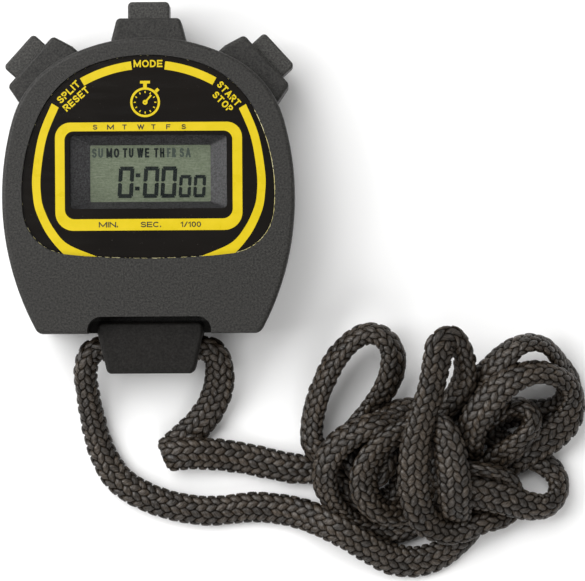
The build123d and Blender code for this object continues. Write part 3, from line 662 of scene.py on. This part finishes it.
def dress_cad_pieces():
    """Finishes for the nodes that keep their CAD mesh."""
    case = moulded_plastic("case_charcoal", (0.0163, 0.0156, 0.0142), 0.48, bracket=True)
    dress(case, "front_case", "rear_case")
    keys = moulded_plastic("button_charcoal", (0.0272, 0.0263, 0.0242), 0.44, 0.35)
    dress(keys, *(node for node in NODES if node.endswith("_button")))
    dress(label_finish(), "face_label")
    dress(clear_finish(), "window_lens")
    dress(moulded_plastic("bezel_satin", (0.030, 0.0295, 0.031), 0.36, 0.12), "display_bezel")
    dress(film_finish(), "lcd_front_polarizer", "lcd_reflector")
    glass = plain_solid("display_glass", (0.5, 0.6, 0.55), 0.1, 0.05, Transmission_Weight=0.6)
    dress(glass, "lcd_front_glass", "lcd_rear_glass")
    dress(plain_solid("zebra_rubber", (0.55, 0.5, 0.46), 0.7), "zebra_strips")
    dress(plain_solid("frame_plastic", (0.6, 0.58, 0.53), 0.5, 0.08), "module_frame")
    dress(plain_solid("solder_mask", (0.012, 0.11, 0.04), 0.25, 0.3), "circuit_board")
    dress(plain_solid("potting_resin", (0.01, 0.01, 0.01), 0.2, 0.3), "main_chip")
    dress(plain_solid("chip_ceramic", (0.2, 0.15, 0.1), 0.55), "smd_parts")
    dress(plain_solid("switch_plastic", (0.02, 0.02, 0.02), 0.5), "tact_switches")
    dress(brushed_metal("crystal_can", (0.6, 0.6, 0.58), 0.3), "quartz_crystal")
    dress(brushed_metal("cell_steel", (0.66, 0.66, 0.64), 0.28, (2500.0, 60.0, 60.0)), "coin_cell")
    springs = [node for node in NODES if "spring" in node]
    sprung = brushed_metal("spring_steel", (0.5, 0.5, 0.5), 0.32)
    dress(sprung, "battery_clip", "battery_contact", *springs)
    make_return_springs(sprung)
    dress(brushed_metal("screw_steel", (0.42, 0.42, 0.42), 0.36), "case_screws", "module_screws")
    dress(brushed_metal("brass_disc", (0.66, 0.47, 0.2), 0.3), "buzzer_disc")


# ---------------------------------------------------------------- the buttons' return springs

# Millimetres and degrees.
BUTTONS_MEET = (0.0, 4.9, 10.0)     # where the axes of all three buttons meet
SPRING_LENGTH = 4.66
SPRING_RADIUS = 2.3                 # of the wire's centre line
WIRE_RADIUS = 0.2
WIRE_SIDES = 10
SPRING_TURNS = 4
TURN_STEPS = 40
# Each button's angle from straight up, clockwise, and how far out along its axis its spring's foot is.
SPRINGS = {
    "mode": (0.0, 25.97),
    "start_stop": (47.8, 28.22),
    "split_reset": (-47.8, 28.22),
}


def coil(foot, up):
    """Vertices and faces of a coil spring standing on its foot, in millimetres."""
    side = np.array((up[1], -up[0], 0.0))
    other = np.cross(up, side)
    turned = np.linspace(0.0, 2 * math.pi * SPRING_TURNS, TURN_STEPS * SPRING_TURNS + 1)
    rise = np.linspace(WIRE_RADIUS, SPRING_LENGTH - WIRE_RADIUS, len(turned))
    out = np.cos(turned)[:, None] * side + np.sin(turned)[:, None] * other
    line = foot + SPRING_RADIUS * out + rise[:, None] * up
    tangent = np.gradient(line, axis=0)
    tangent /= np.linalg.norm(tangent, axis=1)[:, None]
    lift = np.cross(tangent, out)
    around = np.linspace(0.0, 2 * math.pi, WIRE_SIDES, endpoint=False)
    rings = line[:, None] + WIRE_RADIUS * (np.cos(around)[None, :, None] * out[:, None]
                                           + np.sin(around)[None, :, None] * lift[:, None])
    index = np.arange(len(line) * WIRE_SIDES).reshape(-1, WIRE_SIDES)
    beside = np.roll(index, -1, axis=1)
    sides = np.stack([index[:-1], beside[:-1], beside[1:], index[1:]], axis=-1).reshape(-1, 4)
    return rings.reshape(-1, 3), [index[0][::-1], *sides, index[-1]]


def make_return_springs(steel):
    """Coil springs, each on its own mesh, in place of the CAD's rigid springs."""
    for button, (angle, reach) in SPRINGS.items():
        turn = math.radians(angle)
        up = np.array((math.sin(turn), math.cos(turn), 0.0))
        foot = np.array(BUTTONS_MEET) + reach * up
        vertices, faces = coil(foot, up)
        spring = add_piece(smooth_mesh(button + "_coil", vertices * MM, faces), steel)
        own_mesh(spring)
        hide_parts(button + "_spring")


# ---------------------------------------------------------------- printing on the label and the display

# Millimetres. Each stroke of a print stands one STAGGER above the last, over STAGGERS levels and again.
INK = 0.03
STAGGER = 0.002
STAGGERS = 7
BAND_SHIFT = 0.12           # the bands sit a little to the right
KEY_CAP = 1.6
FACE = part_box("face_label")[1][2] / MM
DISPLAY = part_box("lcd_front_polarizer")[1][2] / MM


def bowl(x, y, wide, high, start, stop, count=14):
    """Points on an oval arc, in degrees."""
    turns = np.radians(np.linspace(start, stop, count))
    return [(x + wide * math.cos(t), y + high * math.sin(t)) for t in turns]


def arc(centre, radius, start, stop, count=12):
    """Points on a round arc, in degrees."""
    return bowl(*centre, radius, radius, start, stop, count)


def rounded_box(x0, x1, y0, y1, top_r, bottom_r):
    """A closed outline with round corners, from the lower right corner, anticlockwise."""
    return (arc((x1 - bottom_r, y0 + bottom_r), bottom_r, -90, 0)
            + arc((x1 - top_r, y1 - top_r), top_r, 0, 90)
            + arc((x0 + top_r, y1 - top_r), top_r, 90, 180)
            + arc((x0 + bottom_r, y0 + bottom_r), bottom_r, 180, 270))


def smooth_line(points, count=10):
    """A smooth line through a few points."""
    given = np.array([points[0]] + list(points) + [points[-1]], dtype=float)
    line = []
    for i in range(1, len(given) - 2):
        a, b, c, d = given[i - 1:i + 3]
        for t in np.linspace(0, 1, count, endpoint=i == len(given) - 3):
            line.append(tuple(0.5 * (2 * b + (c - a) * t + (2 * a - 5 * b + 4 * c - d) * t ** 2
                                     + (3 * b - 3 * c + d - a) * t ** 3)))
    return line


# Each letter's width, and its strokes in a box one unit wide and high.
STEM = [(0, 0), (0, 1)]
HEAD = [(0, 0), (0, 1), (0.5, 1)] + bowl(0.5, 0.74, 0.5, 0.26, 80, -80) + [(0.5, 0.48), (0.06, 0.48)]
LETTERS = {
    "A": (0.62, [[(0, 0), (0.5, 1)], [(0.5, 1), (1, 0)], [(0.22, 0.3), (0.78, 0.3)]]),
    "C": (0.6, [bowl(0.5, 0.5, 0.5, 0.5, 50, 310, 22)]),
    "D": (0.55, [[(0, 0), (0, 1), (0.4, 1)] + bowl(0.4, 0.5, 0.6, 0.5, 80, -80) + [(0.4, 0), (0, 0)]]),
    "E": (0.5, [[(1, 1), (0, 1), (0, 0), (1, 0)], [(0.0, 0.5), (0.9, 0.5)]]),
    "F": (0.48, [[(1, 1), (0, 1), (0, 0)], [(0.1, 0.5), (0.85, 0.5)]]),
    "H": (0.55, [STEM, [(1, 0), (1, 1)], [(0.1, 0.5), (0.9, 0.5)]]),
    "I": (0.0, [STEM]),
    "L": (0.48, [[(0, 1), (0, 0), (1, 0)]]),
    "M": (0.72, [STEM, [(0, 1), (0.5, 0.1)], [(0.5, 0.1), (1, 1)], [(1, 1), (1, 0)]]),
    "N": (0.56, [STEM, [(0, 1), (1, 0)], [(1, 0), (1, 1)]]),
    "O": (0.66, [bowl(0.5, 0.5, 0.5, 0.5, 0, 360, 28)]),
    "P": (0.5, [HEAD]),
    "R": (0.54, [HEAD, [(0.5, 0.46), (1, 0)]]),
    "S": (0.52, [bowl(0.5, 0.76, 0.46, 0.24, 25, 270, 16) + bowl(0.5, 0.26, 0.5, 0.26, 80, -155, 16)]),
    "T": (0.56, [[(0, 1), (1, 1)], [(0.5, 0.95), (0.5, 0)]]),
    "U": (0.55, [[(0, 1)] + bowl(0.5, 0.36, 0.5, 0.36, 180, 360) + [(1, 1)]]),
    "W": (0.9, [[(0, 1), (0.25, 0)], [(0.25, 0), (0.5, 1)], [(0.5, 1), (0.75, 0)], [(0.75, 0), (1, 1)]]),
    "0": (0.48, [bowl(0.5, 0.5, 0.5, 0.5, 0, 360, 28)]),
    "1": (0.24, [[(0, 0.76), (0.9, 1), (0.9, 0)]]),
    "/": (0.36, [[(0, 0), (1, 1)]]),
    ".": (0.0, [[(0, 0), (0, 0.12)]]),
}


class Print:
    """Flat printed shapes, gathered into one thin solid piece."""

    def __init__(self, name, height, material, slot, thickness=INK):
        self.name = name
        self.height = height
        self.thickness = thickness
        self.material = material
        self.slot = slot
        self.mesh = bmesh.new()
        self.strokes = 0

    def level(self):
        """The next stroke's height: strokes that cross stand a hair apart, so no faces share a plane."""
        self.strokes += 1
        return self.height + STAGGER * (self.strokes % STAGGERS)

    def patch(self, outline):
        """A filled outline."""
        level = self.level()
        corners = [self.mesh.verts.new(mm(x, y, level)) for x, y in outline]
        self.mesh.faces.new(corners)

    def strip(self, one, other, closed=False):
        """The band between two lines with the same number of points."""
        level = self.level()
        first = [self.mesh.verts.new(mm(x, y, level)) for x, y in one]
        second = [self.mesh.verts.new(mm(x, y, level)) for x, y in other]
        for i in range(len(first) if closed else len(first) - 1):
            j = (i + 1) % len(first)
            self.mesh.faces.new((first[i], first[j], second[j], second[i]))

    def ring(self, centre, radius, width, count=48):
        """A round ring; its radius is that of the line's middle."""
        last = 360.0 - 360.0 / count
        self.strip(arc(centre, radius + width / 2, 0.0, last, count),
                   arc(centre, radius - width / 2, 0.0, last, count), closed=True)

    def bar(self, start, stop, width):
        """A straight bar between two points."""
        a, b = np.array(start, dtype=float), np.array(stop, dtype=float)
        along = (b - a) / np.linalg.norm(b - a)
        side = np.array((-along[1], along[0])) * width / 2
        self.patch([tuple(a - side), tuple(b - side), tuple(b + side), tuple(a + side)])

    def stroke(self, line, width, closed=False):
        """A line of even width, with its sharpest corners blunted."""
        points = np.array(line, dtype=float)
        if not closed:
            for end, beside in ((0, 1), (-1, -2)):
                outward = points[end] - points[beside]
                points[end] += outward / np.linalg.norm(outward) * width / 2
        coming = points - np.roll(points, 1, axis=0)
        going = np.roll(points, -1, axis=0) - points
        if not closed:
            coming[0], going[-1] = going[0], coming[-1]
        sides = []
        for run in (coming, going):
            run = run / np.linalg.norm(run, axis=1)[:, None]
            sides.append(np.stack([-run[:, 1], run[:, 0]], axis=1))
        mitre = sides[0] + sides[1]
        mitre /= np.maximum((mitre * sides[0]).sum(1), 0.6)[:, None]
        self.strip([tuple(p) for p in points + mitre * width / 2],
                   [tuple(p) for p in points - mitre * width / 2], closed)

    def word(self, text, centre, length, cap, angle=0.0, weight=0.2):
        """A word of plain stroke letters, by its length, its capitals' height and its pen's part of that."""
        pen = weight * cap
        gap = 0.5 * pen + 0.05 * cap
        glyphs = [LETTERS[letter] for letter in text]
        room = length - gap * (len(text) - 1) - pen * len(text)
        wide = room / max(1e-6, sum(width for width, _ in glyphs))
        turn = math.radians(angle)
        left = -length / 2
        for width, strokes in glyphs:
            for line in strokes:
                closed = math.dist(line[0], line[-1]) < 1e-6
                placed = []
                for x, y in line[:-1] if closed else line:
                    px, py = left + pen / 2 + x * width * wide, (y - 0.5) * (cap - pen)
                    placed.append((centre[0] + px * math.cos(turn) - py * math.sin(turn),
                                   centre[1] + px * math.sin(turn) + py * math.cos(turn)))
                self.stroke(placed, pen, closed)
            left += width * wide + pen + gap

    def finish(self):
        """Closes the piece: its faces up, and its underside and edges added."""
        bmesh.ops.remove_doubles(self.mesh, verts=self.mesh.verts, dist=1e-6)
        bmesh.ops.recalc_face_normals(self.mesh, faces=self.mesh.faces)
        for face in self.mesh.faces:
            if face.normal.z < 0:
                face.normal_flip()
        top = bmesh.ops.extrude_face_region(self.mesh, geom=self.mesh.faces[:])
        raised = [made for made in top["geom"] if isinstance(made, bmesh.types.BMVert)]
        bmesh.ops.translate(self.mesh, verts=raised, vec=(0, 0, self.thickness * MM))
        bmesh.ops.recalc_face_normals(self.mesh, faces=self.mesh.faces)
        data = bpy.data.meshes.new(self.name)
        self.mesh.to_mesh(data)
        self.mesh.free()
        add_piece(data, self.material)


ROUND_WINDOW = (20, -8, 16)     # half width, bottom and top of a box round the label's window, mm
# How the label's edge is marked: lengths of the marks, gaps between them, and the widest mark, mm.
# right and bottom: partly worn edge, partly painted highlight on the edges that face the light; rest: wear
EDGE_WEAR_AND_HIGHLIGHT = {
    "right": ((4.0, 9.0), (0.02, 0.2), 0.2),
    "bottom": ((0.2, 2.4), (0.1, 1.2), 0.11),
    "rest": ((0.1, 0.5), (0.8, 5.0), 0.09),
}
CHIP_STEP = 0.35
CHIP_DEPTH = 0.12               # the chips start this far below the label's face


def label_rim():
    """The label's outline in order round it, and which way is outward at each point."""
    label = NODES["face_label"]
    corners = np.array([(label.matrix_world @ vertex.co)[:3] for vertex in label.data.vertices]) / MM
    upper = corners[corners[:, 2] > FACE - 0.05][:, :2]
    half, bottom, top = ROUND_WINDOW
    window = (np.abs(upper[:, 0]) < half) & (upper[:, 1] > bottom) & (upper[:, 1] < top)
    rim = upper[~window]
    spread = rim - rim.mean(0)
    order = np.argsort(np.arctan2(spread[:, 1], spread[:, 0]))
    outward = spread / np.linalg.norm(spread, axis=1)[:, None]
    return rim[order], outward[order]


def print_edge_wear_and_highlight():
    """Bright marks round the label's edge: a line down the right side and close-set marks along the bottom,
    partly worn edge and partly painted highlight where the edge faces the light, and sparse worn marks
    elsewhere.
    """
    bare_and_lit = print_finish("bare_edge_and_highlight", (0.50, 0.42, 0.10), (0.75, 0.70, 0.42))
    edge_marks = Print("label_edge_marks_and_highlight", FACE - CHIP_DEPTH, bare_and_lit, "print_yellow", thickness=0.11)
    rim, outward = label_rim()
    reach = np.concatenate([[0.0], np.cumsum(np.linalg.norm(np.diff(rim, axis=0), axis=1))])
    chance = np.random.default_rng(11)

    def beside(spot, stand):
        return tuple(np.interp(spot, reach, rim[:, i] + stand * outward[:, i]) for i in (0, 1))

    spot = 0.0
    while spot < reach[-1]:
        x, y = beside(spot, 0.0)
        # the right side and the bottom face the light: their bright marks are partly painted highlight
        if x > 11 and y < 16:
            side = "right"
        else:
            side = "bottom" if y < -8 else "rest"
        lengths, gaps, widest = EDGE_WEAR_AND_HIGHLIGHT[side]
        length = chance.uniform(*lengths)
        gap = chance.uniform(*gaps)
        stop = min(spot + length, reach[-1])
        steps = np.linspace(spot, stop, 2 + int(length / CHIP_STEP))
        if stop - spot > 0.05:
            stands = chance.uniform(0.05, widest, len(steps))
            stands[[0, -1]] = 0.03
            edge_marks.strip([beside(step, stand) for step, stand in zip(steps, stands)],
                        [beside(step, 0.01) for step in steps])
        spot = stop + gap
    edge_marks.finish()


def print_label():
    """The yellow print with a plain stopwatch for a mark, the worn edge with its painted highlight, and the
    black legends.
    """
    yellow = print_finish("yellow_ink", (0.57, 0.435, 0.006), (0.63, 0.475, 0.008), 0.25)

    bands = Print("label_bands", FACE, yellow, "print_yellow")
    top_centre, top_r = (0.0, -2.5), 31.0
    outer = smooth_line([(21.4, 19.1), (24.3, 12.0), (25.75, 3.5), (25.65, -1.5), (25.0, -4.9),
                         (23.1, -9.1), (21.0, -12.1), (18.7, -14.6)])
    inner = smooth_line([(19.85, 18.15), (22.6, 11.4), (23.9, 3.5), (23.85, -1.5), (23.15, -4.5),
                         (21.2, -8.5), (18.0, -12.1), (11.5, -14.9)])
    start, stop = (math.degrees(math.acos(x / top_r)) for x in (3.8, 15.1))
    upper = [arc(top_centre, r, start, stop) for r in (top_r, top_r - 1.85)]
    for side, first in ((-1, 0), (1, 1)):
        for pair in (upper, (outer[first:], inner[first:])):
            bands.strip(*[[(side * x + BAND_SHIFT, y) for x, y in line] for line in pair])
    bands.finish()

    surround = Print("window_surround", FACE, yellow, "print_yellow")
    surround.strip(rounded_box(-20.6, 20.8, -9.15, 14.8, 3.4, 4.0),
                   rounded_box(-18.5, 18.65, -6.6, 12.85, 2.0, 2.2), closed=True)
    surround.finish()

    words = Print("key_legends", FACE, yellow, "print_yellow")
    words.word("MODE", (0.1, 27.75), 6.4, KEY_CAP)
    words.word("SPLIT", (-17.55, 21.6), 6.1, KEY_CAP, 43.7)
    words.word("RESET", (-15.85, 20.05), 6.9, KEY_CAP, 41.5)
    words.word("START", (17.95, 21.0), 6.5, KEY_CAP, -47.5)
    words.word("STOP", (16.6, 19.2), 5.4, KEY_CAP, -45.5)
    words.finish()

    mark = Print("stopwatch_mark", FACE, yellow, "print_yellow")
    middle = (-0.6, 19.2)
    mark.ring(middle, 3.05, 0.5)
    mark.bar((-0.6, 22.4), (-0.6, 23.4), 0.8)
    mark.bar((-1.7, 23.65), (0.5, 23.65), 0.6)
    mark.bar((1.75, 21.55), (2.35, 22.15), 0.7)
    mark.bar(middle, (0.75, 20.8), 0.4)
    mark.ring(middle, 0.35, 0.4, count=16)
    for hour in range(12):
        turn = math.radians(30 * hour)
        tick = [(middle[0] + r * math.cos(turn), middle[1] + r * math.sin(turn)) for r in (2.05, 2.5)]
        mark.bar(*tick, 0.24)
    mark.finish()

    print_edge_wear_and_highlight()

    black = print_finish("black_ink", (0.012, 0.012, 0.011), (0.02, 0.019, 0.018))
    small = Print("surround_legends", FACE + INK, black, "label_black")
    for letter, x in zip("SMTWTFS", (-11.7, -8.3, -5.2, -1.6, 1.2, 4.5, 7.9)):
        small.word(letter, (x, 13.75), 1.5 if letter in "MW" else 0.95, 1.1)
    for text, x, length in (("MIN.", -8.9, 4.2), ("SEC.", 0.5, 4.5), ("1/100", 9.35, 4.5)):
        small.word(text, (x, -7.85), length, 1.2, weight=0.18)
    small.finish()


def segment_digit(sheet, left, bottom, width, height, stroke, lean=3.5):
    """A nought, leaning to the right: the six outer segments of a seven-segment digit."""
    gap = 0.09
    half = stroke / 2
    cut = stroke * 0.62         # how far each inner corner is cut back
    bevel = half * 0.6          # the outer corners' slant: its length, and two points on it
    nick, drop = half * 0.2, half * 0.4
    chamfer = half * 0.3
    slope = math.tan(math.radians(lean))
    middle = height / 2

    def lay(points):
        sheet.patch([(left + x + slope * y, bottom + y) for x, y in points])

    for y, inward in ((height - half, -1), (half, 1)):
        outer, inner = y - inward * half, y + inward * half
        shoulder = outer + inward * drop
        lay([(gap + bevel, outer), (width - gap - bevel, outer), (width - gap - nick, shoulder),
             (width - cut - gap, inner), (cut + gap, inner), (gap + nick, shoulder)])
    for x, inward in ((half, 1), (width - half, -1)):
        outer, inner = x - inward * half, x + inward * half
        for end, joint, foot in ((gap + chamfer, middle - gap, 1),
                                 (height - gap - chamfer, middle + gap, -1)):
            lay([(outer, end + foot * chamfer), (inner, end + foot * cut),
                 (inner, joint - foot * (half - chamfer)), (x, joint), (outer, joint - foot * chamfer)])


def print_display():
    """The segments: a zero time, and the row of weekdays, of which some are lit."""
    dark = print_finish("lit_segment", (0.010, 0.014, 0.013), (0.013, 0.018, 0.016), 0.15)
    faint = print_finish("faint_segment", (0.055, 0.071, 0.060), (0.062, 0.080, 0.067), 0.15)
    digits = Print("display_digits", DISPLAY, dark, "lcd_ink")
    for left in (-7.1, -1.5, 2.45):
        segment_digit(digits, left, -1.85, 3.45, 7.0, 0.9)
    for left in (6.5, 9.75):
        segment_digit(digits, left, -1.8, 2.7, 5.0, 0.76)
    for y in (0.25, 3.2):
        digits.bar((-3.2 + 0.06 * y, y), (-2.15 + 0.06 * y, y), 0.85)
    digits.finish()
    days = (("SU", -11.45, 2.5, faint), ("MO", -8.05, 2.9, dark), ("TU", -4.65, 2.4, dark),
            ("WE", -1.3, 2.75, dark), ("TH", 2.27, 2.3, dark), ("FR", 5.0, 2.0, faint),
            ("SA", 8.05, 2.5, faint))
    for ink, name in ((dark, "display_days_lit"), (faint, "display_days_faint")):
        row = Print(name, DISPLAY, ink, "lcd_ink")
        for day, x, length, tone in days:
            if tone is ink:
                row.word(day, (x, 8.2), length, 2.1)
        row.finish()


# ---------------------------------------------------------------- stage

PHOTO_CENTRE = (31.76, -22.65)      # mm
EYE_HEIGHT = 640.0                  # mm
PHOTO_TURN = -0.35                  # degrees
LENS = 172.6
FLOOR_HALF = 1.5                    # metres
FLOOR_DROP = 0.02 * MM              # so that no flat underside shares the floor's plane


def make_stage():
    """A plain pale floor."""
    floor = bpy.data.meshes.new("floor")
    corners = [(x * FLOOR_HALF, y * FLOOR_HALF, 0) for x, y in ((-1, -1), (1, -1), (1, 1), (-1, 1))]
    floor.from_pydata(corners, [], [(0, 1, 2, 3)])
    ground = into_scene("floor", floor)
    ground.location.z = -FLOOR_DROP
    paper = Finish("paper", 0.95, (0.95, 0.95, 0.95))
    paper.set(paper.shader, "Specular IOR Level", 0.1)
    floor.materials.append(paper.material)


def area_light(name, place, size, power):
    """A soft box aimed at the middle of the object."""
    lamp = bpy.data.lights.new(name, "AREA")
    lamp.shape = "RECTANGLE"
    lamp.size, lamp.size_y = size
    lamp.energy = power
    holder = into_scene(name, lamp)
    holder.location = place
    aim = Vector((0.03, -0.02, 0.0)) - Vector(place)
    holder.rotation_euler = aim.to_track_quat("-Z", "Y").to_euler()


def make_light():
    """A dim studio with soft boxes round the camera, the strongest at the upper left."""
    world = bpy.data.worlds.new("studio")
    bpy.context.scene.world = world
    world.use_nodes = True
    backdrop = world.node_tree.nodes["Background"]
    backdrop.inputs["Color"].default_value = (1.0, 0.99, 0.97, 1.0)
    backdrop.inputs["Strength"].default_value = 0.25
    area_light("key_box", (-0.36, 0.36, 0.66), (0.8, 0.8), 7.8)
    area_light("left_strip", (-0.74, -0.02, 0.53), (0.3, 0.55), 3.0)
    area_light("right_box", (0.62, 0.2, 0.50), (0.5, 0.5), 0.9)
    area_light("low_box", (0.06, -0.66, 0.50), (0.6, 0.4), 2.2)


def make_camera():
    """A long lens straight above, framed as the photograph is."""
    camera = bpy.data.cameras.new("camera")
    camera.sensor_width = 36.0
    camera.lens = LENS
    camera.clip_start = 0.01
    eye = into_scene("camera", camera)
    eye.location = mm(*PHOTO_CENTRE, EYE_HEIGHT)
    eye.rotation_euler = (0.0, 0.0, math.radians(PHOTO_TURN))
    bpy.context.scene.camera = eye
    bpy.context.scene.view_settings.view_transform = "Standard"


make_lanyard()
dress_cad_pieces()
print_label()
print_display()
make_stage()
make_light()
make_camera()
